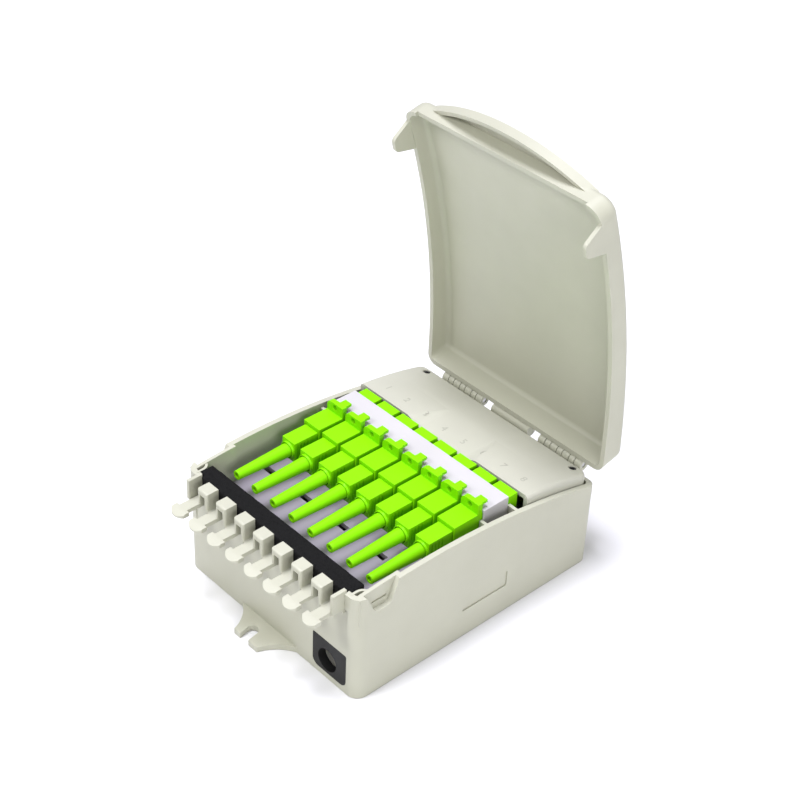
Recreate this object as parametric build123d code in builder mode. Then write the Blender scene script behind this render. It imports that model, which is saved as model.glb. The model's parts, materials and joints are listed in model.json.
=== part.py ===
from build123d import *
import math
import os

# Eight-port fibre distribution box for a wall, with its lid. Millimetres.
# X runs along the row of ports, Y from the cable comb to the hinge, Z out from the wall.
# The origin is the centre of the housing's underside, the face that lies on the wall.

# Case; its width follows from the row of ports and the room beside it
row_side_room = 6.2
case_length = 124.0
wall = 2.2
floor_thickness = 2.0
front_corner_radius = 5.0
rear_corner_radius = 4.0
inner_corner_radius = 2.8

# Overlap where one feature runs into the next, and how far a cut starts outside
join = 0.5
margin = 1.0

# Rim of the housing, an arc over three heights
rim_front_z = 48.2
rim_crown_from_front = 42.0
rim_crown_rise = 1.8
rim_rear_drop = 10.2

# Row of ports
port_count = 8
pitch = 11.0
port_z = 43.3

# Cable comb on the front wall
comb_floor_below_port = 2.3
comb_slab = 1.8
finger_width = 5.86
finger_setback = 0.35
finger_depth = 5.6
finger_height = 8.4
finger_cap = 2.2
finger_round = 0.9
fin_thickness = 1.5
fin_tip_round = 2.2
fin_foot = 1.0
web_thickness = 1.0
tongue_width = 4.6
tongue_length = 14.95
tongue_head_width = 7.5
tongue_head_length = 4.4
tongue_head_bow = 1.9
tongue_droop = 1.1
tongue_slope = 2.4
end_fin_drop = 0.5
relief_depth = 1.1
relief_overhang = 1.9
relief_bottom_z = 23.0

# Foam strip behind the comb
foam_depth = 8.0
foam_height = 7.8
foam_clearance = 0.1
foam_rib = 1.0
foam_rib_length = 4.0
foam_rib_drop = 0.3
foam_lip = 1.2
foam_lip_height = 3.6

# Cable grommet low in the front wall
grommet_from_side = 15.2
grommet_width = 18.6
grommet_bottom_z = 2.6
grommet_height = 16.0
grommet_bottom_round = 3.2
grommet_top_round = 0.8
grommet_clearance = 0.05
grommet_lip = 0.9
grommet_lip_thickness = 1.4
cable_hole_offset = 1.2
cable_hole_z = 9.0
cable_hole_radius = 5.0

# Wall ear at the front of the underside
ear_thickness = 2.5
ear_reach = 11.5
ear_root_half = 16.5
ear_waist_half = 10.2
ear_waist_reach = 5.0
ear_tip_half = 6.7
ear_slot_width = 5.0
ear_slot_from_front = 4.4
ear_slot_end_x = -1.6
ear_slot_lean = 10.0

# Screw holes through the floor for the wall
wall_hole_x = 30.0
wall_hole_from_rear = 16.0
wall_hole_radius = 2.25

# Bare label recess in the right wall
label_length = 23.4
label_height = 7.4
label_from_middle = 2.7
label_z = 16.7
label_depth = 0.5
label_corner = 0.6

# Hooks of the lid and their recesses in the side walls
hook_from_front = 3.6
hook_root_length = 15.6
hook_tip_offset = 5.2
hook_tip_length = 5.6
hook_depth = 9.4
hook_round = 2.2
hook_thickness = 1.6
hook_root = 2.0
hook_clearance = 0.7
hook_inner_gap = 0.4
recess_wall = 1.5
recess_block_drop = 4.6
catch_groove_rise = 2.0
catch_groove_height = 1.1
catch_groove_depth = 0.5

# Deck under the connectors
deck_below_flange = 0.5
deck_thickness = 2.0
deck_side_gap = 0.3
deck_front_gap = 9.3
deck_behind_adapters = 0.2
deck_notch_half = 12.0
deck_notch_depth = 3.0
deck_corner = 2.0
deck_slot_count = 5
deck_slot_length = 5.4
deck_slot_width = 2.8
deck_slot_from_grips = 5.05
deck_slot_ports = 2
seat_gap = 0.05
ledge_reach = 3.0
ledge_length = 7.0
ledge_height = 2.5
ledge_front_gap = 6.5
ledge_middle_gap = 42.5
ledge_rear_gap = 3.5

# Bar that carries the adapters
bar_behind_flange = 0.05
bar_depth = 13.1
bar_end_inset = 0.1
bar_above_ports = 7.6
bar_window_gap = 0.1
bar_rib = 1.4
bar_rib_grip = 0.6
bar_rib_above_ports = 3.2
bar_rib_gap = 0.1
bar_rib_above_deck = 1.0

# Adapters with square push-pull sockets, turned on edge
adapter_width = 9.3
adapter_height = 12.7
adapter_front_y = -9.15
adapter_length = 32.95
flange_front_y = 2.75
flange_thickness = 2.3
flange_height = 22.0
flange_corner_round = 2.6
flange_hole_spacing = 18.0
flange_hole_radius = 1.2
flange_tab_left = 0.5
flange_tab_right = 4.2
flange_tab_length = 5.25
flange_tab_thickness = 1.3
socket_width = 8.0
socket_height = 9.6
adapter_web = 9.4
sleeve_outer_radius = 1.65
sleeve_inner_radius = 1.3
sleeve_fit = 0.04
sleeve_inset = 0.6

# Push-pull connectors
grip_width = 7.4
grip_height = 9.0
grip_front_gap = 3.2
grip_length = 20.35
grip_wall = 0.8
grip_rear_wall = 3.35
grip_hole_radius = 3.3
grip_collar_radius = 3.65
grip_collar_length = 0.9
grip_rib_count = 4
grip_rib_pitch = 1.7
grip_rib_width = 0.8
grip_rib_depth = 0.3
grip_rib_inset = 1.55
grip_rib_end = 1.0
core_gap = 0.3
core_web_gap = 0.3
core_length = 12.8
crimp_radius = 2.0
crimp_length = 4.5
ferrule_radius = 1.25
ferrule_root = 6.3
ferrule_tip_gap = 0.5
boot_neck_radius = 2.6
boot_root_inset = 1.45
boot_root_radius = 3.0
boot_tip_radius = 1.95
boot_length = 27.2
boot_hole_radius = 0.9
boot_fit = 0.03

# Rear cover over the splice bay
cover_side_gap = 0.35
cover_behind_adapters = 0.9
cover_rear_gap = 0.4
cover_front_rise = 11.7
cover_middle_rise = 9.3
cover_rear_rise = 5.2
cover_thickness = 2.0
cover_edge_round = 1.6
cover_skirt = 2.8
cover_corner_round = 3.6
cover_dip_depth = 2.4
cover_dip_flat = 12.0
cover_dip_half = 21.0
cover_dip_lift = 0.4
cover_dip_lean = 0.2
cover_rail = 1.6
cover_rail_height = 3.0
cover_screw_from_side = 5.9
cover_screw_from_rear = 3.1
cover_boss_radius = 2.8
cover_boss_below_rim = 2.0
screw_head_radius = 1.5
screw_head_height = 1.2
screw_head_sink = 1.9
screw_shank_radius = 1.1
screw_length = 12.0
screw_slot_length = 2.1
screw_slot_width = 0.6
screw_slot_depth = 0.6
screw_gap = 0.06
screw_head_gap = 0.2

# Splice holder on the floor of the splice bay
holder_length = 46.0
holder_width = 16.0
holder_base = 1.5
holder_height = 7.5
holder_walls = 7
holder_wall = 1.2
holder_from_rear = 24.0

# Hinge behind the rear wall
hinge_behind_wall = 4.0
hinge_above_rim = 1.0
barrel_radius = 2.5
barrel_arm_rise = 1.5
pin_radius = 1.0
pin_fit = 0.05
knuckles_from_side = 10.7
knuckle_pitch = 3.3
knuckle_count = 7
knuckle_gap = 0.35
pin_inset = 0.3
middle_barrel_half = 10.4
lid_open_angle = 76.0

# Lid shell, drawn closed
lid_side_inset = 0.2
lid_wall = 2.0
lid_rim_gap = 0.6
lid_front_overhang = 1.8
lid_rear_overhang = 1.0
lid_lip_gap = 0.45
lid_lip_overhang = 0.7
skin_front_rise = 9.7
skin_crown_from_front = 40.0
skin_crown_rise = 10.1
skin_rear_rise = 12.6
lid_front_corner = 7.0
lid_rear_corner = 4.5
lid_top_round = 3.2
lid_inside_round = 2.2
visor_radius = 88.0
visor_reach = 9.0
visor_root = 1.3
visor_skin = 1.5
visor_band = 1.9
visor_drop = 4.2

# Values that follow from the ones above
front_y = -case_length / 2
rear_y = case_length / 2
row_half = port_count * pitch / 2
half_width = row_half + row_side_room
inner_half = half_width - wall
port_xs = [(i - (port_count - 1) / 2) * pitch for i in range(port_count)]
finger_xs = [(i - (port_count - 2) / 2) * pitch for i in range(port_count - 1)]
rim_crown_y = front_y + rim_crown_from_front
rim_crown_z = rim_front_z + rim_crown_rise
rim_rear_z = rim_front_z - rim_rear_drop
comb_half = row_half - finger_width / 2 + fin_thickness
comb_floor_z = port_z - comb_floor_below_port
finger_rear_y = front_y + finger_setback
finger_front_y = finger_rear_y - finger_depth
finger_top_z = comb_floor_z + finger_height
tongue_end_y = finger_rear_y - tongue_length
slab_bottom_z = comb_floor_z - comb_slab
relief_half = comb_half + relief_overhang
foam_half = row_half
foam_front_y = finger_rear_y + foam_clearance
foam_rear_y = foam_front_y + foam_depth
foam_rib_turn_y = front_y + foam_rib_length
grommet_x = half_width - grommet_from_side
cable_hole_x = grommet_x - cable_hole_offset
ear_tip_y = front_y - ear_reach
ear_waist_y = front_y - ear_waist_reach
ear_slot_end_y = front_y - ear_slot_from_front
wall_hole_y = rear_y - wall_hole_from_rear
hook_front_y = front_y + hook_from_front
hook_rear_y = hook_front_y + hook_root_length
hook_tip_front_y = hook_front_y + hook_tip_offset
hook_tip_rear_y = hook_tip_front_y + hook_tip_length
hook_tip_z = rim_crown_z - hook_depth
lid_half = half_width - lid_side_inset
hook_inner_x = lid_half - hook_thickness
recess_x = hook_inner_x - hook_inner_gap
recess_block_bottom = hook_tip_z - recess_block_drop
catch_groove_z = hook_tip_z + catch_groove_rise
adapter_rear_y = adapter_front_y + adapter_length
adapter_middle_y = (adapter_front_y + adapter_rear_y) / 2
web_front_y = adapter_middle_y - adapter_web / 2
flange_top_z = port_z + flange_height / 2
bar_front_y = flange_front_y + flange_thickness + bar_behind_flange
bar_rear_y = bar_front_y + bar_depth
bar_half = row_half - bar_end_inset
bar_top_z = port_z + bar_above_ports
bar_rib_top_z = port_z + bar_rib_above_ports
deck_top_z = port_z - flange_height / 2 - deck_below_flange
deck_bottom_z = deck_top_z - deck_thickness
deck_front_y = front_y + wall + deck_front_gap
deck_rear_y = adapter_rear_y + deck_behind_adapters
ledge_ys = (
    deck_front_y + ledge_front_gap,
    deck_front_y + ledge_middle_gap,
    deck_rear_y - ledge_rear_gap,
)
grip_front_y = web_front_y - grip_front_gap
grip_rear_y = grip_front_y - grip_length
grip_hole_start_y = grip_rear_y + grip_rear_wall
deck_slot_y = grip_rear_y - deck_slot_from_grips
core_front_y = web_front_y - core_web_gap
core_rear_y = core_front_y - core_length
core_width = grip_width - 2 * grip_wall - 2 * core_gap
core_height = grip_height - 2 * grip_wall - 2 * core_gap
crimp_rear_y = core_rear_y - crimp_length
ferrule_rear_y = core_front_y - ferrule_root
boot_root_y = grip_rear_y + boot_root_inset
boot_tip_y = boot_root_y - boot_length
cover_half = inner_half - cover_side_gap
cover_front_y = adapter_rear_y + cover_behind_adapters
cover_rear_y = rear_y - wall - cover_rear_gap
cover_front_z = rim_rear_z + cover_front_rise
cover_middle_z = rim_rear_z + cover_middle_rise
cover_rear_z = rim_rear_z + cover_rear_rise
cover_dip_z = cover_front_z - cover_dip_depth
cover_screw_x = cover_half - cover_screw_from_side
cover_screw_y = cover_rear_y - cover_screw_from_rear
cover_boss_bottom_z = rim_rear_z - cover_boss_below_rim
holder_y = rear_y - holder_from_rear
hinge_y = rear_y + hinge_behind_wall
hinge_z = rim_rear_z + hinge_above_rim
barrel_arm_top = hinge_z - barrel_radius + barrel_arm_rise
group_end = half_width - knuckles_from_side
knuckle_start = group_end - knuckle_count * knuckle_pitch
lid_front_y = front_y - lid_front_overhang
lid_rear_y = rear_y + lid_rear_overhang
lid_lip_z = finger_top_z + lid_lip_gap
lid_lip_half = comb_half + lid_lip_overhang
skin_front_z = rim_front_z + skin_front_rise
skin_crown_y = front_y + skin_crown_from_front
skin_crown_z = rim_crown_z + skin_crown_rise
skin_rear_z = rim_rear_z + skin_rear_rise
visor_apex_y = lid_front_y - visor_reach
visor_start_y = lid_front_y + visor_root

os.makedirs("parts", exist_ok=True)


def arc_height(y, front, crown, rear):
    """Height at y of the arc over three (y, z) points."""
    (y1, z1), (y2, z2), (y3, z3) = front, crown, rear
    d = 2 * (y1 * (z2 - z3) + y2 * (z3 - z1) + y3 * (z1 - z2))
    s1, s2, s3 = y1**2 + z1**2, y2**2 + z2**2, y3**2 + z3**2
    cy = (s1 * (z2 - z3) + s2 * (z3 - z1) + s3 * (z1 - z2)) / d
    cz = (s1 * (y3 - y2) + s2 * (y1 - y3) + s3 * (y2 - y1)) / d
    return cz + math.sqrt((y1 - cy) ** 2 + (z1 - cz) ** 2 - (y - cy) ** 2)


def rim_z(y):
    return arc_height(y, (front_y, rim_front_z), (rim_crown_y, rim_crown_z), (rear_y, rim_rear_z))


def skin_z(y):
    return arc_height(y, (front_y, skin_front_z), (skin_crown_y, skin_crown_z), (rear_y, skin_rear_z))


def cover_z(y):
    middle = (cover_front_y + cover_rear_y) / 2
    front, rear = (cover_front_y, cover_front_z), (cover_rear_y, cover_rear_z)
    return arc_height(y, front, (middle, cover_middle_z), rear)


def shifted(curve, distance):
    return lambda y: curve(y) + distance


def flat(z):
    return lambda y: z


def side_profile(y_start, y_end, top, bottom):
    """Outline in the side plane between an upper and a lower curve."""
    ys = (y_start, (y_start + y_end) / 2, y_end)
    upper = [(y, top(y)) for y in ys]
    lower = [(y, bottom(y)) for y in ys]
    with BuildSketch() as profile:
        with BuildLine():
            ThreePointArc(*upper)
            Line(upper[2], lower[2])
            if bottom(ys[0]) == bottom(ys[1]) == bottom(ys[2]):
                Line(lower[2], lower[0])
            else:
                ThreePointArc(*reversed(lower))
            Line(lower[0], upper[0])
        make_face()
    return profile.sketch_local


def hook_profile(grow, top_z):
    """Outline of a hook; grown by a clearance it is the outline of its recess."""
    with BuildSketch() as profile:
        with BuildLine():
            Polyline(
                (hook_front_y - grow, top_z),
                (hook_tip_front_y - grow, hook_tip_z - grow),
                (hook_tip_rear_y + grow, hook_tip_z - grow),
                (hook_rear_y + grow, top_z),
                close=True,
            )
        make_face()
        fillet(profile.vertices().group_by(Axis.Y)[0], hook_round)
    return profile.sketch_local


def grommet_profile(grow):
    """Outline of the grommet in the front wall; grown by a clearance it is the window's."""
    with BuildSketch() as profile:
        with Locations((grommet_x, grommet_bottom_z + grommet_height / 2)):
            Rectangle(grommet_width + 2 * grow, grommet_height + 2 * grow)
        fillet(profile.vertices().group_by(Axis.Y)[0], grommet_bottom_round + grow)
        fillet(profile.vertices().group_by(Axis.Y)[-1], grommet_top_round + grow)
    return profile.sketch_local


def save(builder, name):
    builder.part.label = name
    export_step(builder.part, f"parts/{name}.step")


# One arched finger of the comb, at x = 0
with BuildPart() as finger:
    with BuildSketch(Plane.XZ.offset(-finger_rear_y)):
        with Locations((0, (finger_top_z + slab_bottom_z) / 2)):
            Rectangle(finger_width, finger_top_z - slab_bottom_z)
        with Locations((0, (finger_top_z - finger_cap + slab_bottom_z) / 2)):
            Rectangle(
                finger_width - 2 * fin_thickness,
                finger_top_z - finger_cap - slab_bottom_z,
                mode=Mode.SUBTRACT,
            )
        with Locations((-(finger_width - fin_thickness) / 2, (comb_floor_z + slab_bottom_z) / 2)):
            Rectangle(fin_thickness, comb_floor_z - slab_bottom_z, mode=Mode.SUBTRACT)
    extrude(amount=finger_depth)
    front_edges = finger.faces().sort_by(Axis.Y)[0].edges()
    outer_uprights = front_edges.filter_by(Axis.Z).group_by(Axis.X)
    fillet(outer_uprights[0] + outer_uprights[-1] + front_edges.group_by(Axis.Z)[-1], finger_round)
    with BuildSketch(Plane.YZ.offset(-finger_width)):
        tip_y = finger_front_y + fin_tip_round
        tip_z = comb_floor_z + fin_tip_round
        with BuildLine():
            CenterArc((tip_y, tip_z), fin_tip_round, 180, 90)
            Polyline(
                (tip_y, comb_floor_z),
                (tip_y, comb_floor_z - margin),
                (finger_front_y - margin, comb_floor_z - margin),
                (finger_front_y - margin, tip_z),
                (finger_front_y, tip_z),
            )
        make_face()
    extrude(amount=finger_width / 2 + fin_thickness, mode=Mode.SUBTRACT)
    with BuildSketch(Plane.XZ.offset(-finger_rear_y)):
        foot_x = finger_width / 2
        fin_middle_x = foot_x - fin_thickness / 2
        foot_top_z = comb_floor_z + fin_foot
        with BuildLine():
            Line((fin_middle_x, comb_floor_z), (fin_middle_x, foot_top_z))
            Line((fin_middle_x, foot_top_z), (foot_x, foot_top_z))
            CenterArc((foot_x + fin_foot, foot_top_z), fin_foot, 180, 90)
            Line((foot_x + fin_foot, comb_floor_z), (fin_middle_x, comb_floor_z))
        make_face()
    extrude(amount=finger_depth)
    with Locations((0, finger_rear_y - web_thickness / 2, (finger_top_z - finger_cap + slab_bottom_z) / 2)):
        Box(finger_width, web_thickness, finger_top_z - finger_cap - slab_bottom_z)

# One T-headed tongue of the comb, at x = 0
with BuildPart() as tongue:
    with BuildSketch(Plane.XY.offset(slab_bottom_z)):
        head_rear_y = tongue_end_y + tongue_head_length
        with Locations((0, (head_rear_y + finger_rear_y) / 2)):
            Rectangle(tongue_width, finger_rear_y - head_rear_y + margin)
        with BuildLine():
            corner_y = tongue_end_y + tongue_head_bow
            ThreePointArc(
                (-tongue_head_width / 2, corner_y), (0, tongue_end_y), (tongue_head_width / 2, corner_y)
            )
            Polyline(
                (tongue_head_width / 2, corner_y),
                (tongue_head_width / 2, head_rear_y),
                (-tongue_head_width / 2, head_rear_y),
                (-tongue_head_width / 2, corner_y),
            )
        make_face()
    extrude(amount=comb_slab)
    with BuildSketch(Plane.YZ):
        with BuildLine():
            Polyline(
                (tongue_end_y - margin, comb_floor_z + margin),
                (tongue_end_y - margin, comb_floor_z - tongue_droop),
                (tongue_end_y, comb_floor_z - tongue_droop),
                (tongue_end_y + tongue_slope, comb_floor_z),
                (tongue_end_y + tongue_slope, comb_floor_z + margin),
                close=True,
            )
        make_face()
    extrude(amount=tongue_head_width, both=True, mode=Mode.SUBTRACT)

# Housing
with BuildPart() as housing:
    # Crowned tray
    with BuildSketch(Plane.YZ):
        add(side_profile(front_y, rear_y, rim_z, flat(0)))
    extrude(amount=half_width, both=True)
    upright = housing.edges().filter_by(Axis.Z)
    fillet(upright.group_by(Axis.Y)[0], front_corner_radius)
    fillet(housing.edges().filter_by(Axis.Z).group_by(Axis.Y)[-1], rear_corner_radius)
    with BuildSketch(Plane.XY.offset(floor_thickness)):
        RectangleRounded(2 * inner_half, case_length - 2 * wall, inner_corner_radius)
    extrude(amount=rim_crown_z, mode=Mode.SUBTRACT)

    # Blocks behind the hook recesses, then the recesses and their catch grooves
    block_front_y = hook_front_y - hook_clearance - recess_wall
    block_rear_y = hook_rear_y + hook_clearance + recess_wall
    for side in (-1, 1):
        inner_face = recess_x - recess_wall
        with BuildSketch(Plane.YZ.offset(side * inner_face)):
            add(side_profile(block_front_y, block_rear_y, rim_z, flat(recess_block_bottom)))
        extrude(amount=side * (half_width - wall / 2 - inner_face))
        with BuildSketch(Plane.YZ.offset(side * recess_x)):
            add(hook_profile(hook_clearance, rim_crown_z + margin))
        extrude(amount=2 * side * wall, mode=Mode.SUBTRACT)
        groove_length = hook_tip_rear_y - hook_tip_front_y + 2 * hook_clearance
        groove_y = (hook_tip_front_y + hook_tip_rear_y) / 2
        with Locations((side * recess_x, groove_y, catch_groove_z + catch_groove_height / 2)):
            Box(2 * catch_groove_depth, groove_length, catch_groove_height, mode=Mode.SUBTRACT)

    # Gap for the comb, set-back of the wall under it
    with Locations((0, front_y + wall / 2, (comb_floor_z + rim_crown_z) / 2)):
        Box(2 * comb_half, 2 * wall, rim_crown_z - comb_floor_z, mode=Mode.SUBTRACT)
    with BuildSketch(Plane.YZ):
        with BuildLine():
            Polyline(
                (front_y - margin, relief_bottom_z - margin),
                (front_y, relief_bottom_z),
                (front_y + relief_depth, comb_floor_z),
                (front_y - margin, comb_floor_z),
                close=True,
            )
        make_face()
    extrude(amount=relief_half, both=True, mode=Mode.SUBTRACT)

    # Shelf for the foam with its rear lip and end ribs
    shelf_half = recess_x - recess_wall / 2
    shelf_front_y = finger_rear_y - web_thickness
    shelf_rear_y = foam_rear_y + foam_clearance + foam_lip
    shelf_middle_z = (comb_floor_z + slab_bottom_z) / 2
    with Locations((0, (shelf_front_y + shelf_rear_y) / 2, shelf_middle_z)):
        Box(2 * comb_half, shelf_rear_y - shelf_front_y, comb_slab)
    with Locations((0, (front_y + wall / 2 + shelf_rear_y) / 2, shelf_middle_z)):
        Box(2 * shelf_half, shelf_rear_y - front_y - wall / 2, comb_slab)
    with Locations((0, shelf_rear_y - foam_lip / 2, comb_floor_z + foam_lip_height / 2)):
        Box(2 * shelf_half, foam_lip, foam_lip_height)
    rib_top_z = comb_floor_z + foam_height - foam_rib_drop
    for side in (-1, 1):
        rib_x = foam_half + foam_clearance + foam_rib / 2
        rib_front_y = front_y + wall / 2
        rib_middle_y = (rib_front_y + foam_rib_turn_y) / 2
        with Locations((side * rib_x, rib_middle_y, (comb_floor_z + rib_top_z) / 2)):
            Box(foam_rib, foam_rib_turn_y - rib_front_y, rib_top_z - comb_floor_z)
        with BuildSketch(Plane.XY.offset(comb_floor_z)):
            turn_radius = inner_half - rib_x
            with Locations((side * inner_half, foam_rib_turn_y)):
                Circle(turn_radius + foam_rib / 2)
                Circle(turn_radius - foam_rib / 2, mode=Mode.SUBTRACT)
            with Locations((side * inner_half, foam_rib_turn_y - turn_radius)):
                Rectangle(4 * turn_radius, 2 * turn_radius, mode=Mode.SUBTRACT)
            with Locations((side * (shelf_half + turn_radius), foam_rib_turn_y)):
                Rectangle(2 * turn_radius, 4 * turn_radius, mode=Mode.SUBTRACT)
        extrude(amount=rib_top_z - comb_floor_z)

    # Comb
    for x in finger_xs:
        add(finger.part.moved(Location((x, 0, 0))))
    for x in port_xs:
        add(tongue.part.moved(Location((x, 0, 0))))
    for side in (-1, 1):
        fin_bottom_z = comb_floor_z - end_fin_drop
        with Locations(
            (
                side * (comb_half - fin_thickness / 2),
                (finger_front_y + front_y + wall / 2) / 2,
                (finger_top_z + fin_bottom_z) / 2,
            )
        ):
            Box(fin_thickness, front_y + wall / 2 - finger_front_y, finger_top_z - fin_bottom_z)

    # Window for the grommet
    with BuildSketch(Plane.XZ.offset(-front_y + margin)):
        add(grommet_profile(grommet_clearance))
    extrude(amount=-2 * wall, mode=Mode.SUBTRACT)

    # Wall ear with its leaning open slot
    with BuildSketch():
        with BuildLine():
            ThreePointArc(
                (-ear_root_half, front_y), (-ear_waist_half, ear_waist_y), (-ear_tip_half, ear_tip_y)
            )
            Line((-ear_tip_half, ear_tip_y), (ear_tip_half, ear_tip_y))
            ThreePointArc(
                (ear_tip_half, ear_tip_y), (ear_waist_half, ear_waist_y), (ear_root_half, front_y)
            )
            Polyline(
                (ear_root_half, front_y),
                (ear_root_half, front_y + wall / 2),
                (-ear_root_half, front_y + wall / 2),
                (-ear_root_half, front_y),
            )
        make_face()
        slot_length = 2 * (ear_slot_end_y - ear_tip_y)
        lean = math.radians(ear_slot_lean)
        with Locations(
            Location(
                (
                    ear_slot_end_x + math.sin(lean) * slot_length / 2,
                    ear_slot_end_y - ear_slot_width / 2 - math.cos(lean) * slot_length / 2,
                ),
                90 + ear_slot_lean,
            )
        ):
            SlotCenterToCenter(slot_length, ear_slot_width, mode=Mode.SUBTRACT)
    extrude(amount=ear_thickness)

    # Holes for the wall screws, label recess
    with Locations((-wall_hole_x, wall_hole_y, 0), (wall_hole_x, wall_hole_y, 0)):
        Cylinder(wall_hole_radius, 4 * floor_thickness, mode=Mode.SUBTRACT)
    with BuildSketch(Plane.YZ.offset(half_width - label_depth)):
        with Locations((label_from_middle, label_z)):
            RectangleRounded(label_length, label_height, label_corner)
    extrude(amount=2 * label_depth, mode=Mode.SUBTRACT)

    # Ledges for the deck, brackets for the bar, rails and posts for the rear cover
    for side in (-1, 1):
        for y in ledge_ys:
            ledge_x = inner_half - (ledge_reach - join) / 2
            ledge_z = deck_bottom_z - seat_gap - ledge_height / 2
            with Locations((side * ledge_x, y, ledge_z)):
                Box(ledge_reach + join, ledge_length, ledge_height)
        for edge_y, outward in ((bar_front_y, -1), (bar_rear_y, 1)):
            rib_y = edge_y + outward * (bar_rib_gap + bar_rib / 2)
            rib_inner = bar_half - bar_rib_grip
            rib_bottom = deck_top_z + bar_rib_above_deck
            rib_outer = inner_half + join
            with Locations((side * (rib_inner + rib_outer) / 2, rib_y, (rib_bottom + bar_rib_top_z) / 2)):
                Box(rib_outer - rib_inner, bar_rib, bar_rib_top_z - rib_bottom)
        rail_inner = cover_half - cover_rail
        with BuildSketch(Plane.YZ.offset(side * rail_inner)):
            add(
                side_profile(
                    cover_front_y + margin,
                    rear_y - wall / 2,
                    shifted(rim_z, -cover_skirt - seat_gap),
                    shifted(rim_z, -cover_skirt - seat_gap - cover_rail_height),
                )
            )
        extrude(amount=side * (inner_half + wall / 2 - rail_inner))
        with BuildSketch(Plane.XY.offset(floor_thickness / 2)):
            with Locations((side * cover_screw_x, cover_screw_y)):
                Circle(cover_boss_radius)
        extrude(amount=cover_boss_bottom_z - seat_gap - floor_thickness / 2)
        with Locations((side * cover_screw_x, cover_screw_y, cover_boss_bottom_z)):
            Cylinder(screw_shank_radius + screw_gap, 2 * screw_length, mode=Mode.SUBTRACT)

    # Fixed knuckles, middle barrel
    with BuildSketch(Plane.YZ) as fixed_knuckle:
        with Locations((hinge_y, hinge_z)):
            Circle(barrel_radius)
        arm_bottom = hinge_z - barrel_radius
        with Locations(((rear_y - wall / 2 + hinge_y) / 2, (arm_bottom + barrel_arm_top) / 2)):
            Rectangle(hinge_y - rear_y + wall / 2, barrel_arm_top - arm_bottom)
    extrude(amount=middle_barrel_half, both=True)
    for side in (-1, 1):
        for k in range(0, knuckle_count, 2):
            start = knuckle_start + k * knuckle_pitch
            with BuildSketch(Plane.YZ.offset(side * start)):
                add(fixed_knuckle.sketch_local)
            extrude(amount=side * knuckle_pitch)
    for side in (-1, 1):
        with Locations(Location((side * (knuckle_start + group_end) / 2, hinge_y, hinge_z), (0, 90, 0))):
            Cylinder(pin_radius + pin_fit, group_end - knuckle_start + margin, mode=Mode.SUBTRACT)
save(housing, "housing")

# Visor of the lid, drawn closed, with the pocket behind its band
with BuildPart() as visor:
    visor_centre_y = visor_apex_y + visor_radius
    with BuildSketch(Plane.XY.offset(lid_lip_z)):
        with Locations((0, visor_centre_y)):
            Circle(visor_radius)
        with Locations((0, visor_start_y + visor_radius)):
            Rectangle(4 * visor_radius, 2 * visor_radius, mode=Mode.SUBTRACT)
    extrude(amount=skin_crown_z - lid_lip_z)
    with BuildSketch(Plane.YZ):
        add(
            side_profile(
                visor_apex_y - margin, visor_start_y + margin, skin_z, shifted(skin_z, -visor_drop)
            )
        )
    extrude(amount=lid_half, both=True, mode=Mode.INTERSECT)
    with BuildPart(mode=Mode.PRIVATE) as pocket:
        with BuildSketch(Plane.XY.offset(lid_lip_z)):
            with Locations((0, visor_centre_y)):
                Circle(visor_radius - visor_band)
            with Locations((0, lid_front_y + visor_radius)):
                Rectangle(4 * visor_radius, 2 * visor_radius, mode=Mode.SUBTRACT)
        extrude(amount=skin_crown_z - lid_lip_z)
        with BuildSketch(Plane.YZ):
            ceiling = shifted(skin_z, -visor_skin)
            add(side_profile(visor_apex_y - margin, visor_start_y + margin, ceiling, flat(lid_lip_z)))
        extrude(amount=lid_half, both=True, mode=Mode.INTERSECT)
    add(pocket.part, mode=Mode.SUBTRACT)

# Hooks of the lid, drawn closed, kept inside its rounded plan
with BuildPart() as hooks:
    for side in (-1, 1):
        with BuildSketch(Plane.YZ.offset(side * hook_inner_x)):
            add(hook_profile(0, rim_crown_z + hook_root))
        extrude(amount=side * hook_thickness)
    with BuildSketch(Plane.XY.offset(hook_tip_z - margin)):
        with Locations((0, (lid_front_y + lid_rear_y) / 2)):
            RectangleRounded(2 * lid_half, lid_rear_y - lid_front_y, lid_front_corner)
    extrude(amount=skin_crown_z - hook_tip_z, mode=Mode.INTERSECT)

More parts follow.
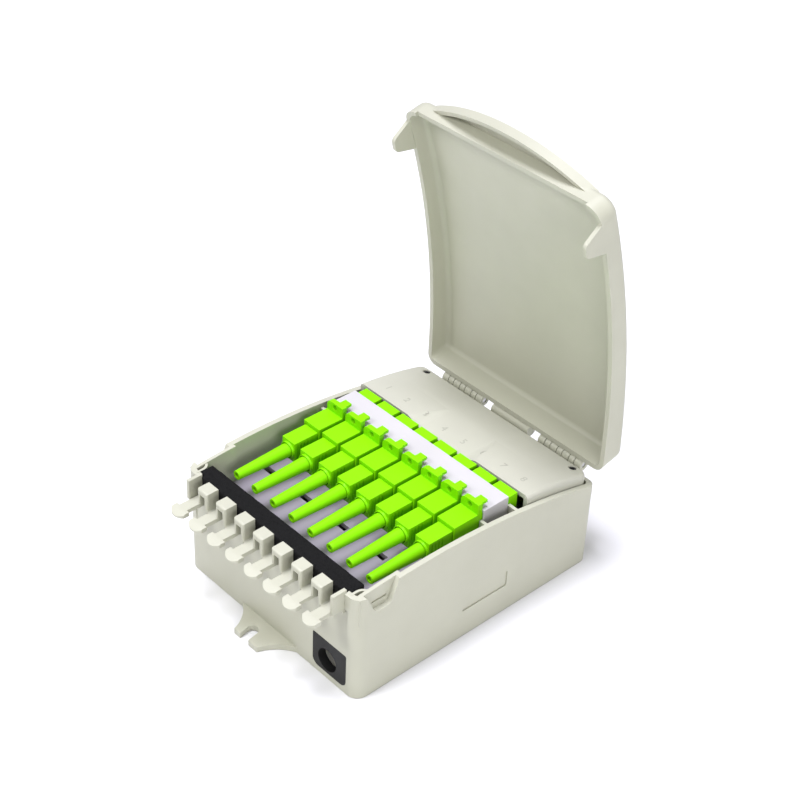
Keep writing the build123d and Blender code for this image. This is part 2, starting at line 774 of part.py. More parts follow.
# Lid, drawn closed and then turned open about the hinge
with BuildPart() as closed_lid:
    with BuildSketch(Plane.YZ):
        add(side_profile(lid_front_y, lid_rear_y, skin_z, shifted(rim_z, lid_rim_gap)))
    extrude(amount=lid_half, both=True)
    fillet(closed_lid.edges().filter_by(Axis.Z).group_by(Axis.Y)[0], lid_front_corner)
    fillet(closed_lid.edges().filter_by(Axis.Z).group_by(Axis.Y)[-1], lid_rear_corner)
    top_rim = closed_lid.faces().sort_by(Axis.Z)[-1].edges()
    fillet(top_rim, lid_top_round)
    with BuildPart(mode=Mode.PRIVATE) as lid_inside:
        with BuildSketch(Plane.YZ):
            ceiling = shifted(skin_z, -lid_wall)
            add(side_profile(lid_front_y + lid_wall, lid_rear_y - lid_wall, ceiling, flat(rim_rear_z / 2)))
        extrude(amount=lid_half - lid_wall, both=True)
        fillet(lid_inside.edges().filter_by(Axis.Z).group_by(Axis.Y)[0], lid_front_corner - lid_wall)
        fillet(lid_inside.edges().filter_by(Axis.Z).group_by(Axis.Y)[-1], lid_rear_corner - lid_wall)
        fillet(lid_inside.faces().sort_by(Axis.Z)[-1].edges(), lid_inside_round)
    add(lid_inside.part, mode=Mode.SUBTRACT)
    with Locations((0, lid_front_y, (lid_lip_z + slab_bottom_z) / 2)):
        Box(2 * lid_lip_half, 4 * lid_wall, lid_lip_z - slab_bottom_z, mode=Mode.SUBTRACT)
    add(hooks.part)
    add(visor.part)
    for side in (-1, 1):
        for k in range(1, knuckle_count, 2):
            start = knuckle_start + k * knuckle_pitch + knuckle_gap
            with BuildSketch(Plane.YZ.offset(side * start)):
                with Locations((hinge_y, hinge_z)):
                    Circle(barrel_radius)
                with Locations(((lid_rear_y - lid_wall / 2 + hinge_y) / 2, hinge_z + barrel_radius / 2)):
                    Rectangle(hinge_y - lid_rear_y + lid_wall / 2, barrel_radius)
            extrude(amount=side * (knuckle_pitch - 2 * knuckle_gap))
        with Locations(Location((side * (knuckle_start + group_end) / 2, hinge_y, hinge_z), (0, 90, 0))):
            Cylinder(pin_radius + pin_fit, group_end - knuckle_start + margin, mode=Mode.SUBTRACT)
with BuildPart() as lid:
    add(closed_lid.part.rotate(Axis((0, hinge_y, hinge_z), (1, 0, 0)), -lid_open_angle))
save(lid, "lid")

# Hinge pins
for side, pin_name in ((-1, "hinge_pin_left"), (1, "hinge_pin_right")):
    with BuildPart() as pin:
        with Locations(Location((side * (knuckle_start + group_end) / 2, hinge_y, hinge_z), (0, 90, 0))):
            Cylinder(pin_radius, group_end - knuckle_start - 2 * pin_inset)
    save(pin, pin_name)

# Rear cover with its dipped front edge, skirts and screw bosses
with BuildPart() as dip:
    with BuildSketch(Plane.XZ.offset(-cover_front_y + margin)):
        with BuildLine():
            middle_x = (cover_dip_flat + cover_dip_half) / 2
            middle_z = (cover_dip_z + cover_front_z) / 2
            dip_top_z = cover_front_z + cover_dip_lift
            left_rise = Spline(
                (-cover_dip_flat, cover_dip_z),
                (-middle_x, middle_z),
                (-cover_dip_half, dip_top_z),
                tangents=((-1, 0), (-1, cover_dip_lean)),
            )
            mirror(left_rise, about=Plane.YZ)
            Line((-cover_dip_flat, cover_dip_z), (cover_dip_flat, cover_dip_z))
            Line((-cover_dip_half, dip_top_z), (cover_dip_half, dip_top_z))
        make_face()
    extrude(amount=-(cover_rear_y - cover_front_y))
with BuildPart() as rear_cover:
    with BuildSketch(Plane.YZ):
        add(side_profile(cover_front_y, cover_rear_y, cover_z, shifted(rim_z, -cover_skirt)))
    extrude(amount=cover_half, both=True)
    fillet(rear_cover.edges().filter_by(Axis.Z).group_by(Axis.Y)[-1], cover_corner_round)
    cover_rim = rear_cover.faces().sort_by(Axis.Z)[-1].edges()
    fillet(cover_rim.sort_by(Axis.Y)[1:], cover_edge_round)
    add(dip.part, mode=Mode.SUBTRACT)
    with BuildPart(mode=Mode.PRIVATE) as cover_inside:
        with BuildSketch(Plane.YZ):
            add(
                side_profile(
                    cover_front_y - margin,
                    cover_rear_y - cover_thickness,
                    shifted(cover_z, -cover_thickness),
                    flat(rim_rear_z / 2),
                )
            )
        extrude(amount=cover_half - cover_thickness, both=True)
        add(dip.part.moved(Location((0, -cover_thickness, -cover_thickness))), mode=Mode.SUBTRACT)
    add(cover_inside.part, mode=Mode.SUBTRACT)
    for side in (-1, 1):
        boss_top = cover_z(cover_screw_y) - cover_thickness / 2
        with Locations((side * cover_screw_x, cover_screw_y, (boss_top + cover_boss_bottom_z) / 2)):
            Cylinder(cover_boss_radius, boss_top - cover_boss_bottom_z)
        seat_z = cover_z(cover_screw_y) - screw_head_sink
        with Locations((side * cover_screw_x, cover_screw_y, seat_z)):
            Cylinder(
                screw_head_radius + screw_head_gap,
                2 * screw_head_sink,
                align=(Align.CENTER, Align.CENTER, Align.MIN),
                mode=Mode.SUBTRACT,
            )
            Cylinder(screw_shank_radius + screw_gap, 2 * screw_length, mode=Mode.SUBTRACT)
save(rear_cover, "rear_cover")

# Two identical cover screws
with BuildPart() as cover_screws:
    head_z = seat_z + screw_head_height
    with Locations((-cover_screw_x, cover_screw_y, seat_z), (cover_screw_x, cover_screw_y, seat_z)):
        Cylinder(screw_head_radius, screw_head_height, align=(Align.CENTER, Align.CENTER, Align.MIN))
        Cylinder(screw_shank_radius, screw_length, align=(Align.CENTER, Align.CENTER, Align.MAX))
    with Locations((-cover_screw_x, cover_screw_y, head_z), (cover_screw_x, cover_screw_y, head_z)):
        Box(screw_slot_width, screw_slot_length, 2 * screw_slot_depth, mode=Mode.SUBTRACT)
        Box(screw_slot_length, screw_slot_width, 2 * screw_slot_depth, mode=Mode.SUBTRACT)
save(cover_screws, "cover_screws")

# Bar with a window for each adapter
with BuildPart() as adapter_bar:
    bar_bottom_z = deck_top_z + seat_gap
    with Locations((0, (bar_front_y + bar_rear_y) / 2, (bar_bottom_z + bar_top_z) / 2)):
        Box(2 * bar_half, bar_depth, bar_top_z - bar_bottom_z)
    with BuildSketch(Plane.XZ.offset(-bar_front_y + margin)):
        with Locations(*[(x, port_z) for x in port_xs]):
            Rectangle(adapter_width + 2 * bar_window_gap, adapter_height + 2 * bar_window_gap)
    extrude(amount=-bar_depth - 2 * margin, mode=Mode.SUBTRACT)
save(adapter_bar, "adapter_bar")

# Deck with its slots and the notch where the fibres pass
with BuildPart() as deck:
    deck_half = inner_half - deck_side_gap
    with BuildSketch(Plane.XY.offset(deck_bottom_z)):
        with Locations((0, (deck_front_y + deck_rear_y) / 2)):
            RectangleRounded(2 * deck_half, deck_rear_y - deck_front_y, deck_corner)
        with Locations((0, deck_rear_y)):
            Rectangle(2 * deck_notch_half, 2 * deck_notch_depth, mode=Mode.SUBTRACT)
        with Locations((0, deck_slot_y)):
            with GridLocations(deck_slot_ports * pitch, 0, deck_slot_count, 1):
                Rectangle(deck_slot_length, deck_slot_width, mode=Mode.SUBTRACT)
    extrude(amount=deck_thickness)
save(deck, "deck")

# Foam strip
with BuildPart() as cable_foam:
    with Locations((0, (foam_front_y + foam_rear_y) / 2, comb_floor_z + foam_height / 2)):
        Box(2 * foam_half, foam_depth, foam_height)
    corner_depth = front_y + wall + foam_clearance - foam_front_y
    corner_width = foam_half - comb_half + fin_thickness + foam_clearance
    for side in (-1, 1):
        with Locations(
            (
                side * (foam_half - corner_width / 2),
                foam_front_y + corner_depth / 2,
                comb_floor_z + foam_height / 2,
            )
        ):
            Box(corner_width, corner_depth, foam_height, mode=Mode.SUBTRACT)
save(cable_foam, "cable_foam")

# Rubber grommet with a lip behind the wall
with BuildPart() as grommet:
    with BuildSketch(Plane.XZ.offset(-front_y)):
        add(grommet_profile(0))
    extrude(amount=-wall)
    lip_top = grommet_bottom_z + grommet_height + grommet_lip
    lip_bottom = floor_thickness + seat_gap
    with BuildSketch(Plane.XZ.offset(-front_y - wall)):
        with Locations((grommet_x, (lip_top + lip_bottom) / 2)):
            Rectangle(grommet_width + 2 * grommet_lip, lip_top - lip_bottom)
    extrude(amount=-grommet_lip_thickness)
    with Locations(Location((cable_hole_x, front_y + wall / 2, cable_hole_z), (90, 0, 0))):
        Cylinder(cable_hole_radius, 4 * wall, mode=Mode.SUBTRACT)
save(grommet, "grommet")

# Splice holder with upright walls on a base
with BuildPart() as splice_holder:
    holder_z = floor_thickness + seat_gap
    with Locations((0, holder_y, holder_z)):
        Box(holder_length, holder_width, holder_base, align=(Align.CENTER, Align.CENTER, Align.MIN))
        with GridLocations(0, (holder_width - holder_wall) / (holder_walls - 1), 1, holder_walls):
            Box(holder_length, holder_wall, holder_height, align=(Align.CENTER, Align.CENTER, Align.MIN))
save(splice_holder, "splice_holder")

# Adapter at x = 0
with BuildPart() as adapter:
    with Locations((0, adapter_middle_y, port_z)):
        Box(adapter_width, adapter_rear_y - adapter_front_y, adapter_height)
    with BuildSketch(Plane.XZ.offset(-flange_front_y)):
        with Locations((0, port_z)):
            Rectangle(adapter_width, flange_height)
    extrude(amount=-flange_thickness)
    rounded = adapter.edges().filter_by(Axis.Y).group_by(Axis.Z)[-1].sort_by(Axis.X)[0]
    fillet(rounded, flange_corner_round)
    tab_width = flange_tab_right - flange_tab_left
    with Locations(
        (
            flange_tab_left + tab_width / 2,
            flange_front_y + flange_tab_length / 2,
            flange_top_z - flange_tab_thickness / 2,
        )
    ):
        Box(tab_width, flange_tab_length, flange_tab_thickness)
    with Locations(
        (0, adapter_front_y, port_z),
        (0, adapter_rear_y, port_z),
    ):
        Box(socket_width, 2 * (web_front_y - adapter_front_y), socket_height, mode=Mode.SUBTRACT)
    for hole_z in (-flange_hole_spacing / 2, flange_hole_spacing / 2):
        with Locations(Location((0, flange_front_y, port_z + hole_z), (90, 0, 0))):
            Cylinder(flange_hole_radius, 4 * flange_thickness, mode=Mode.SUBTRACT)
    with Locations(Location((0, adapter_middle_y, port_z), (90, 0, 0))):
        Cylinder(sleeve_outer_radius + sleeve_fit, adapter_web + margin, mode=Mode.SUBTRACT)

# Alignment sleeve at x = 0
with BuildPart() as sleeve:
    with Locations(Location((0, adapter_middle_y, port_z), (90, 0, 0))):
        Cylinder(sleeve_outer_radius, adapter_web - 2 * sleeve_inset)
        Cylinder(sleeve_inner_radius, adapter_web, mode=Mode.SUBTRACT)

# Sliding grip at x = 0
with BuildPart() as grip:
    with Locations((0, (grip_front_y + grip_rear_y) / 2, port_z)):
        Box(grip_width, grip_front_y - grip_rear_y, grip_height)
    with BuildSketch(Plane.XZ.offset(-grip_rear_y)):
        with Locations((0, port_z)):
            Circle(grip_collar_radius)
    extrude(amount=grip_collar_length)
    for k in range(grip_rib_count):
        rib_y = grip_rear_y + grip_rib_inset + k * grip_rib_pitch
        with Locations((-grip_width / 2, rib_y, port_z), (grip_width / 2, rib_y, port_z)):
            Box(
                2 * grip_rib_depth, grip_rib_width, grip_height - 2 * grip_rib_end, mode=Mode.SUBTRACT
            )
    with Locations((0, (grip_front_y + grip_hole_start_y) / 2, port_z)):
        Box(
            grip_width - 2 * grip_wall,
            grip_front_y - grip_hole_start_y,
            grip_height - 2 * grip_wall,
            mode=Mode.SUBTRACT,
        )
    with Locations(Location((0, grip_rear_y, port_z), (90, 0, 0))):
        Cylinder(grip_hole_radius, 2 * (grip_hole_start_y - grip_rear_y), mode=Mode.SUBTRACT)

# Inner core of the connector at x = 0, with its crimp neck
with BuildPart() as core:
    with Locations((0, (core_front_y + core_rear_y) / 2, port_z)):
        Box(core_width, core_front_y - core_rear_y, core_height)
    with BuildSketch(Plane.XZ.offset(-core_rear_y)):
        with Locations((0, port_z)):
            Circle(crimp_radius)
    extrude(amount=core_rear_y - crimp_rear_y)
    with Locations(Location((0, (core_front_y + ferrule_rear_y) / 2, port_z), (90, 0, 0))):
        Cylinder(ferrule_radius + sleeve_fit, ferrule_root + 2 * seat_gap, mode=Mode.SUBTRACT)

# Ferrule at x = 0
with BuildPart() as ferrule:
    with BuildSketch(Plane.XZ.offset(-ferrule_rear_y)):
        with Locations((0, port_z)):
            Circle(ferrule_radius)
    extrude(amount=-(adapter_middle_y - ferrule_tip_gap - ferrule_rear_y))

# Boot at x = 0, bored for the crimp neck and the fibre
with BuildPart() as boot:
    with BuildSketch(Plane.XY.offset(port_z)):
        neck_y = core_rear_y - seat_gap
        with BuildLine():
            Polyline(
                (crimp_radius + boot_fit, neck_y),
                (boot_neck_radius, neck_y),
                (boot_neck_radius, boot_root_y),
                (boot_root_radius, boot_root_y),
                (boot_tip_radius, boot_tip_y),
                (boot_hole_radius, boot_tip_y),
                (boot_hole_radius, crimp_rear_y - seat_gap),
                (crimp_radius + boot_fit, crimp_rear_y - seat_gap),
                close=True,
            )
        make_face()
    revolve(axis=Axis((0, 0, port_z), (0, 1, 0)))

for number, x in enumerate(port_xs, start=1):
    for piece, piece_name in (
        (adapter, "adapter"),
        (sleeve, "alignment_sleeve"),
        (grip, "connector_grip"),
        (core, "connector_core"),
        (ferrule, "ferrule"),
        (boot, "connector_boot"),
    ):
        with BuildPart() as placed:
            add(piece.part.moved(Location((x, 0, 0))))
        save(placed, f"{piece_name}_{number}")
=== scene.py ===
"""Looks of the fibre distribution box: materials, soft edges, foam, port numbers, camera and studio.

Lengths are in metres, in the frame of the solids. Colours are linear.
"""

import json
import math

import bpy
from mathutils import Matrix, Vector, noise

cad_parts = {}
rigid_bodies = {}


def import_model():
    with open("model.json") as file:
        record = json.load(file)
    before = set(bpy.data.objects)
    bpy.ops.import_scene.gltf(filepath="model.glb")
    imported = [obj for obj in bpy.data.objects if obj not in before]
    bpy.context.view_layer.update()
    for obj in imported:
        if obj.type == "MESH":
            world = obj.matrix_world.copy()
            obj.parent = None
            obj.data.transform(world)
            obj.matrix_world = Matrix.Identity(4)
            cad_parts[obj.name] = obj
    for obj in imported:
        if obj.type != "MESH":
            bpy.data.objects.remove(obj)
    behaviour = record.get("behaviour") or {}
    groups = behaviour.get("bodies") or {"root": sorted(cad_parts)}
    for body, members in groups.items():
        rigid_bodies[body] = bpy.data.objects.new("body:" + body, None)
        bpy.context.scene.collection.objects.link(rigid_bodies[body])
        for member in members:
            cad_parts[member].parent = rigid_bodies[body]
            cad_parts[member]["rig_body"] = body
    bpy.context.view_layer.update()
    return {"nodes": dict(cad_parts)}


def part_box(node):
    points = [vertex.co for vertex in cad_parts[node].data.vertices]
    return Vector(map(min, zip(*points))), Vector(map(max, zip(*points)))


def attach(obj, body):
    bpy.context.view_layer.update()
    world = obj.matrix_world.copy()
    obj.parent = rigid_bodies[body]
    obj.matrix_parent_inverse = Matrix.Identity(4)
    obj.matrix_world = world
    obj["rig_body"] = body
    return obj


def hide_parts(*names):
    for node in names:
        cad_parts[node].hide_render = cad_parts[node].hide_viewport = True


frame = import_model()

MM = 0.001
PORT_COUNT = 8

# Noise in the plastics: patterns per metre and steps of fineness
DRIFT_SCALE, DRIFT_DETAIL = 38.0, 3.0
SMUDGE_SCALE, SMUDGE_DETAIL = 120.0, 4.0
GRAIN_SCALE, GRAIN_DETAIL = 2600.0, 2.0
METAL_GRAIN_SCALE = 900.0
NOISE_LOW, NOISE_HIGH = 0.3, 0.7
GRAIN_DEPTH = 0.08 * MM
TONE_DRIFT = 0.03
SMOOTHER, ROUGHER = 0.05, 0.06
COAT_ROUGHNESS = 0.2
SCATTER_DEPTH = (2 * MM, 2 * MM, 1.6 * MM)

# Foam: two sizes of pores, a dull black painted darker in the pore hollows and lighter on the cell
# rims as painted shade and light, and a skin that swells and sinks a little
PORE_SCALE = 2200.0
LUMP_SCALE, LUMP_DETAIL = 700.0, 5.0
PORE_LOW, PORE_HIGH = 0.5, 1.2 / 1.3
PORE_PAINTED_SHADE, PORE_PAINTED_LIGHT = 0.55, 1.5
PORE_BUMP, PORE_DEPTH = 0.55, 0.3 * MM
FOAM_ROUGHNESS, FOAM_GLOSS = 0.95, 0.04
FOAM_VOXEL = 0.6 * MM
FOAM_SWELL, FOAM_SINK = 0.12 * MM, 0.04 * MM
FOAM_WAVE, FOAM_RIPPLE, RIPPLE_SHARE = 260.0, 700.0, 0.5
FOAM_RELAX, FOAM_RELAX_STEPS = 0.5, 2

# Colours shared by several pieces
SHELL = (0.45, 0.45, 0.362)
GREEN = (0.205, 0.63, 0.0006)
STEEL = (0.5, 0.5, 0.5)
CERAMIC = (0.85, 0.85, 0.83)

# Soft edges: radius by piece, and the angles where an edge is rounded or shaded sharp
EDGE_RADIUS = {
    "housing": 0.35 * MM,
    "lid": 0.35 * MM,
    "rear_cover": 0.3 * MM,
    "adapter_bar": 0.25 * MM,
    "deck": 0.2 * MM,
    "grommet": 0.35 * MM,
    "adapter": 0.22 * MM,
    "connector_grip": 0.3 * MM,
    "connector_boot": 0.15 * MM,
    "splice_holder": 0.15 * MM,
}
ROUNDED_ANGLE, SHARP_ANGLE = math.radians(35), math.radians(32)
EDGE_SEGMENTS = 2
WELD_DISTANCE = 0.002 * MM

# Port numbers on the rear cover, in a darker copy of the cover grey: painted shade
NUMBER_SHADE_TONE = (0.36, 0.357, 0.30)
NUMBER_Y = 31.8 * MM
NUMBER_SIZE = 4.6 * MM
NUMBER_THICKNESS, NUMBER_LIFT = 0.03 * MM, 0.01 * MM
NUMBER_CURVE_STEPS = 3
ABOVE_COVER = 0.2

# Camera, solved from the straight edges of the box in the photograph
CAMERA_PLACE = (0.38032, -0.36368, 0.46638)
CAMERA_AZIMUTH, CAMERA_ELEVATION, CAMERA_ROLL = 46.164, 36.322, 2.638
FOCAL_PIXELS, PHOTO_PIXELS, SENSOR_WIDTH = 1745.5, 800, 36
NEAR, FAR = 0.05, 20

# Studio: floor, lights and sky
FLOOR_HALF, FLOOR_DROP = 6, 0.2 * MM
FLOOR_PAINT = (0.74, 0.74, 0.74)
SUN_FROM = (-0.15, -0.05, 1.6)
SUN_SPREAD, SUN_STRENGTH, SUN_COLOUR = math.radians(25), 3.3, (0.99, 0.985, 1.12)
KEY_PLACE, KEY_WIDTH, KEY_POWER = (-0.2, -0.8, 0.95), 0.4, 6.6
FILL_PLACE, FILL_WIDTH, FILL_POWER = (0.95, -0.3, 0.45), 0.7, 5.0
LIT_POINT = (0, 0, 0.05)
PANEL_ASPECT = 0.7
SKY_HORIZON, SKY_ZENITH = 0.25, 0.48


# Parts of the procedural materials


def new_material(name):
    """Material with nothing but a shader on its output."""
    material = bpy.data.materials.new(name)
    material.use_nodes = True
    tree = material.node_tree
    tree.nodes.clear()
    out = tree.nodes.new("ShaderNodeOutputMaterial")
    shader = tree.nodes.new("ShaderNodeBsdfPrincipled")
    tree.links.new(shader.outputs["BSDF"], out.inputs["Surface"])
    return material, tree, shader


def pattern(tree, kind, scale):
    """Noise or cells over the object's own coordinates."""
    where = tree.nodes.new("ShaderNodeTexCoord")
    texture = tree.nodes.new(kind)
    texture.inputs["Scale"].default_value = scale
    tree.links.new(where.outputs["Object"], texture.inputs["Vector"])
    return texture


def noise_pattern(tree, scale, detail):
    texture = pattern(tree, "ShaderNodeTexNoise", scale)
    texture.inputs["Detail"].default_value = detail
    return texture.outputs["Fac"]


def tone(tree, shader, value, low, high, dark, light):
    """Base colour from dark to light while the value goes from low to high."""
    ramp = tree.nodes.new("ShaderNodeValToRGB")
    first, last = ramp.color_ramp.elements
    first.position, last.position = low, high
    first.color = (*dark, 1)
    last.color = (*[min(1, part) for part in light], 1)
    tree.links.new(value, ramp.inputs["Fac"])
    tree.links.new(ramp.outputs["Color"], shader.inputs["Base Color"])


def bump(tree, shader, height, strength, depth):
    relief = tree.nodes.new("ShaderNodeBump")
    relief.inputs["Strength"].default_value = strength
    relief.inputs["Distance"].default_value = depth
    tree.links.new(height, relief.inputs["Height"])
    tree.links.new(relief.outputs["Normal"], shader.inputs["Normal"])


def scaled(colour, factor):
    return [part * factor for part in colour]


def plastic(
    name,
    colour,
    roughness,
    grain=0.0,
    grain_scale=GRAIN_SCALE,
    drift=TONE_DRIFT,
    gloss=0.5,
    coat=0.0,
    translucent=0.0,
    metallic=0.0,
):
    """Moulded plastic: slight tone drift, roughness drift, fine spark-eroded grain."""
    material, tree, shader = new_material(name)
    shader.inputs["Specular IOR Level"].default_value = gloss
    shader.inputs["Metallic"].default_value = metallic
    drifting = noise_pattern(tree, DRIFT_SCALE, DRIFT_DETAIL)
    dark, light = scaled(colour, 1 - drift), scaled(colour, 1 + drift)
    tone(tree, shader, drifting, NOISE_LOW, NOISE_HIGH, dark, light)
    rough = tree.nodes.new("ShaderNodeMapRange")
    rough.inputs["From Min"].default_value = NOISE_LOW
    rough.inputs["From Max"].default_value = NOISE_HIGH
    rough.inputs["To Min"].default_value = roughness - SMOOTHER
    rough.inputs["To Max"].default_value = roughness + ROUGHER
    tree.links.new(noise_pattern(tree, SMUDGE_SCALE, SMUDGE_DETAIL), rough.inputs["Value"])
    tree.links.new(rough.outputs["Result"], shader.inputs["Roughness"])
    if grain:
        bump(tree, shader, noise_pattern(tree, grain_scale, GRAIN_DETAIL), grain, GRAIN_DEPTH)
    if coat:
        shader.inputs["Coat Weight"].default_value = coat
        shader.inputs["Coat Roughness"].default_value = COAT_ROUGHNESS
    if translucent:
        shader.inputs["Subsurface Weight"].default_value = translucent
        shader.inputs["Subsurface Radius"].default_value = SCATTER_DEPTH
        shader.inputs["Subsurface Scale"].default_value = 1.0
    return material


def metal(name, colour, roughness):
    """Drawn or plated metal: coarser grain and a stronger drift of tone."""
    return plastic(
        name,
        colour,
        roughness,
        grain=0.15,
        grain_scale=METAL_GRAIN_SCALE,
        drift=0.08,
        metallic=1.0,
    )


def foam(name, colour):
    """Open-cell foam: pores of two sizes, hardly any gloss, colour darker in the pore hollows and
    lighter on the rims as painted shade and light.
    """
    material, tree, shader = new_material(name)
    shader.inputs["Roughness"].default_value = FOAM_ROUGHNESS
    shader.inputs["Specular IOR Level"].default_value = FOAM_GLOSS
    pores = pattern(tree, "ShaderNodeTexVoronoi", PORE_SCALE)
    height = tree.nodes.new("ShaderNodeMath")
    height.operation = "ADD"
    tree.links.new(pores.outputs["Distance"], height.inputs[0])
    tree.links.new(noise_pattern(tree, LUMP_SCALE, LUMP_DETAIL), height.inputs[1])
    relief = height.outputs["Value"]
    # Colour follows the pore relief: painted shade in the hollows, painted light on the rims
    dark, light = scaled(colour, PORE_PAINTED_SHADE), scaled(colour, PORE_PAINTED_LIGHT)
    tone(tree, shader, relief, PORE_LOW, PORE_HIGH, dark, light)
    bump(tree, shader, relief, PORE_BUMP, PORE_DEPTH)
    return material


# Looks of the solids: material, soft edges, shading
materials = {
    "housing": plastic("housing_grey", SHELL, 0.46, grain=0.12, translucent=0.04),
    "lid": plastic("lid_grey", SHELL, 0.44, grain=0.12, translucent=0.04),
    "rear_cover": plastic("cover_grey", (0.465, 0.463, 0.388), 0.46, grain=0.12),
    "cover_screws": metal("screw_dark", (0.12, 0.12, 0.125), 0.4),
    "hinge_pin_left": metal("pin_steel", STEEL, 0.3),
    "hinge_pin_right": metal("pin_steel_right", STEEL, 0.3),
    "adapter_bar": plastic("bar_white", (0.51, 0.495, 0.505), 0.4, grain=0.06),
    "deck": plastic("deck_grey", (0.275, 0.245, 0.285), 0.5, grain=0.1),
    "cable_foam": foam("foam_black", (0.008, 0.008, 0.008)),
    "grommet": plastic("grommet_black", (0.010, 0.010, 0.010), 0.5, grain=0.2, gloss=0.25),
    "splice_holder": plastic("holder_grey", (0.26, 0.25, 0.265), 0.5, grain=0.1),
    "adapter": plastic("adapter_green", GREEN, 0.45, grain=0.05, gloss=0.12),
    "connector_grip": plastic("grip_green", GREEN, 0.42, grain=0.05, gloss=0.14),
    "connector_boot": plastic("boot_green", GREEN, 0.5, grain=0.08, gloss=0.12),
    "connector_core": plastic("core_white", (0.8, 0.8, 0.78), 0.35, grain=0.04),
    "ferrule": plastic("ferrule_ceramic", CERAMIC, 0.15, coat=0.5),
    "alignment_sleeve": plastic("sleeve_ceramic", CERAMIC, 0.18, coat=0.4),
}


def family(node_name):
    """Name without its port number, for the nodes that come eight times."""
    return node_name if node_name in materials else node_name.rsplit("_", 1)[0]


def soften_edges(node, radius):
    """Round the sharp edges of a moulding, and keep its flat faces flat in shading."""
    weld = node.modifiers.new("weld", "WELD")
    weld.merge_threshold = WELD_DISTANCE
    bevel = node.modifiers.new("soft_edges", "BEVEL")
    bevel.width = radius
    bevel.segments = EDGE_SEGMENTS
    bevel.limit_method = "ANGLE"
    bevel.angle_limit = ROUNDED_ANGLE
    bevel.use_clamp_overlap = True
    bevel.harden_normals = False
    bevel.miter_outer = "MITER_ARC"
    even = node.modifiers.new("even_shading", "WEIGHTED_NORMAL")
    even.keep_sharp = True


for node_name, node in frame["nodes"].items():
    kind = family(node_name)
    node.data.materials.clear()
    node.data.materials.append(materials[kind])
    for face in node.data.polygons:
        face.use_smooth = True
    if kind in EDGE_RADIUS:
        soften_edges(node, EDGE_RADIUS[kind])
    node.data.set_sharp_from_angle(angle=SHARP_ANGLE)


def add_to_scene(name, data):
    thing = bpy.data.objects.new(name, data)
    bpy.context.scene.collection.objects.link(thing)
    return thing


# Foam strip: a cut soft block with rounded edges and an uneven skin
def soft_block(node_name, name):
    """Soft skin in the shape of a solid block, kept inside the block's box."""
    source = frame["nodes"][node_name]
    work = add_to_scene(name + "_work", source.data.copy())
    remesh = work.modifiers.new("voxels", "REMESH")
    remesh.mode = "VOXEL"
    remesh.voxel_size = FOAM_VOXEL
    relax = work.modifiers.new("relax", "SMOOTH")
    relax.factor = FOAM_RELAX
    relax.iterations = FOAM_RELAX_STEPS
    bpy.context.view_layer.update()
    evaluated = work.evaluated_get(bpy.context.evaluated_depsgraph_get())
    mesh = bpy.data.meshes.new_from_object(evaluated)
    bpy.data.objects.remove(work)
    lowest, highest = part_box(node_name)
    for vertex in mesh.vertices:
        wave = noise.noise(vertex.co * FOAM_WAVE)
        wave += RIPPLE_SHARE * noise.noise(vertex.co * FOAM_RIPPLE)
        vertex.co += vertex.normal * (wave * FOAM_SWELL - FOAM_SINK)
        for axis in range(3):
            vertex.co[axis] = min(max(vertex.co[axis], lowest[axis]), highest[axis])
    for face in mesh.polygons:
        face.use_smooth = True
    mesh.materials.clear()
    mesh.materials.append(materials[node_name])
    block = add_to_scene(name, mesh)
    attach(block, source["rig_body"])
    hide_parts(node_name)


soft_block("cable_foam", "foam_strip")


# Faint port numbers: flat digits in a darker copy of the cover grey, painted shade standing in for
# numbers pressed into the rear cover
def cover_surface(x, y):
    """Place on the cover's top over (x, y), and the way it faces, by a ray from above."""
    cover = frame["nodes"]["rear_cover"]
    _, place, normal, _ = cover.ray_cast(Vector((x, y, ABOVE_COVER)), Vector((0, 0, -1)))
    return place, normal


def port_x(port):
    lowest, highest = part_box(f"adapter_{port}")
    return (lowest[0] + highest[0]) / 2


# The digits take the cover grey darkened, as painted shade
number_shade = plastic("number_painted_shade", NUMBER_SHADE_TONE, 0.5, drift=0.02)
for port in range(1, PORT_COUNT + 1):
    place, normal = cover_surface(port_x(port), NUMBER_Y)
    curve = bpy.data.curves.new(f"number_{port}", "FONT")
    curve.body = str(port)
    curve.size = NUMBER_SIZE
    curve.align_x = "CENTER"
    curve.align_y = "CENTER"
    curve.extrude = NUMBER_THICKNESS
    curve.resolution_u = NUMBER_CURVE_STEPS
    curve.materials.append(number_shade)
    digit = add_to_scene(f"number_{port}", curve)
    across = Vector((1, 0, 0))
    along = normal.cross(across).normalized()
    turn = Matrix((across, along, normal)).transposed().to_4x4()
    digit.matrix_world = Matrix.Translation(place + normal * NUMBER_LIFT) @ turn
    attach(digit, "base")


# Camera as in the photograph
azimuth, elevation, roll = map(math.radians, (CAMERA_AZIMUTH, CAMERA_ELEVATION, CAMERA_ROLL))
right = Vector((math.cos(azimuth), math.sin(azimuth), 0))
away = Vector((math.sin(azimuth), -math.cos(azimuth), 0))
back = math.cos(elevation) * away + math.sin(elevation) * Vector((0, 0, 1))
up = back.cross(right)
image_right = math.cos(roll) * right + math.sin(roll) * up
image_up = -math.sin(roll) * right + math.cos(roll) * up
camera_data = bpy.data.cameras.new("camera")
camera_data.sensor_width = SENSOR_WIDTH
camera_data.lens = SENSOR_WIDTH * FOCAL_PIXELS / PHOTO_PIXELS
camera_data.clip_start = NEAR
camera_data.clip_end = FAR
camera = add_to_scene("camera", camera_data)
camera_turn = Matrix((image_right, image_up, back)).transposed().to_4x4()
camera.matrix_world = Matrix.Translation(Vector(CAMERA_PLACE)) @ camera_turn
bpy.context.scene.camera = camera


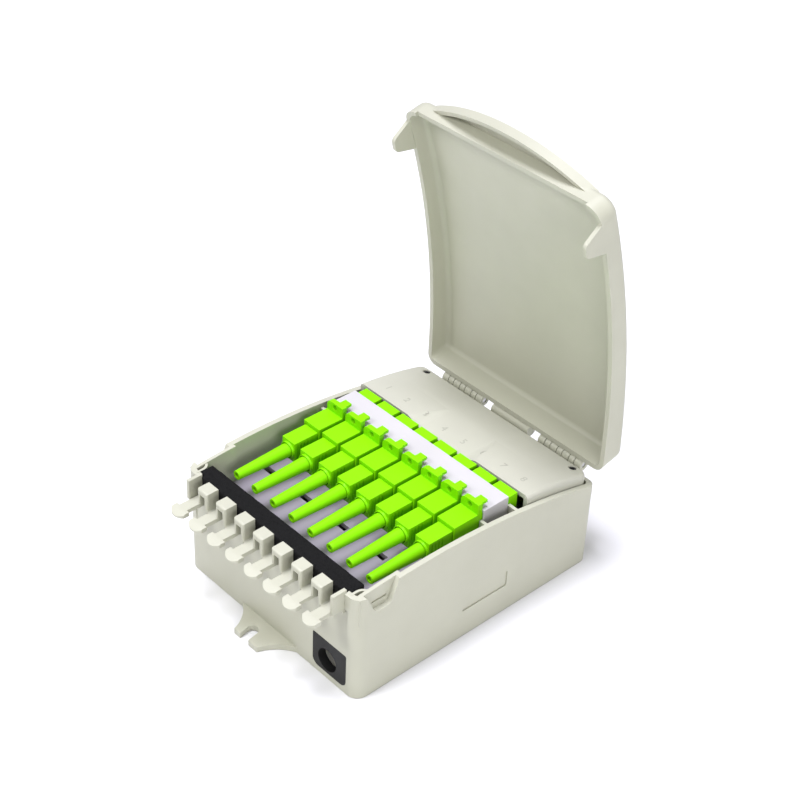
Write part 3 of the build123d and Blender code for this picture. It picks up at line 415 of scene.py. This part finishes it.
# Pale floor and soft studio light
floor_mesh = bpy.data.meshes.new("floor")
floor_corners = [
    (x * FLOOR_HALF, y * FLOOR_HALF, -FLOOR_DROP) for x, y in ((-1, -1), (1, -1), (1, 1), (-1, 1))
]
floor_mesh.from_pydata(floor_corners, [], [(0, 1, 2, 3)])
floor_mesh.materials.append(
    plastic("floor_paint", FLOOR_PAINT, 0.7, grain=0.02, grain_scale=300, drift=0.004)
)
floor = add_to_scene("floor", floor_mesh)


def lamp(name, kind, power, place, aim):
    """Light of one kind at a place, shining along aim."""
    data = bpy.data.lights.new(name, kind)
    data.energy = power
    light = add_to_scene(name, data)
    light.location = place
    light.rotation_euler = Vector(aim).to_track_quat("-Z", "Y").to_euler()
    return data


def panel(name, place, width, power):
    """Soft panel of light that faces the box."""
    data = lamp(name, "AREA", power, place, Vector(LIT_POINT) - Vector(place))
    data.shape = "RECTANGLE"
    data.size = width
    data.size_y = width * PANEL_ASPECT


# A broad sun keeps the floor as pale far off as it is near the box
sun = lamp("overhead", "SUN", SUN_STRENGTH, (0, 0, 0), -Vector(SUN_FROM))
sun.angle = SUN_SPREAD
sun.color = SUN_COLOUR
panel("key", KEY_PLACE, KEY_WIDTH, KEY_POWER)
panel("fill", FILL_PLACE, FILL_WIDTH, FILL_POWER)

# The sky is brighter overhead than at the horizon, so that upright faces fall off
world = bpy.data.worlds.new("studio")
world.use_nodes = True
sky = world.node_tree
where = sky.nodes.new("ShaderNodeTexCoord")
split = sky.nodes.new("ShaderNodeSeparateXYZ")
rise = sky.nodes.new("ShaderNodeMapRange")
rise.inputs["To Min"].default_value = SKY_HORIZON
rise.inputs["To Max"].default_value = SKY_ZENITH
sky.links.new(where.outputs["Generated"], split.inputs["Vector"])
sky.links.new(split.outputs["Z"], rise.inputs["Value"])
sky.links.new(rise.outputs["Result"], sky.nodes["Background"].inputs["Color"])
sky.nodes["Background"].inputs["Strength"].default_value = 1.0
bpy.context.scene.world = world
bpy.context.scene.view_settings.view_transform = "Standard"
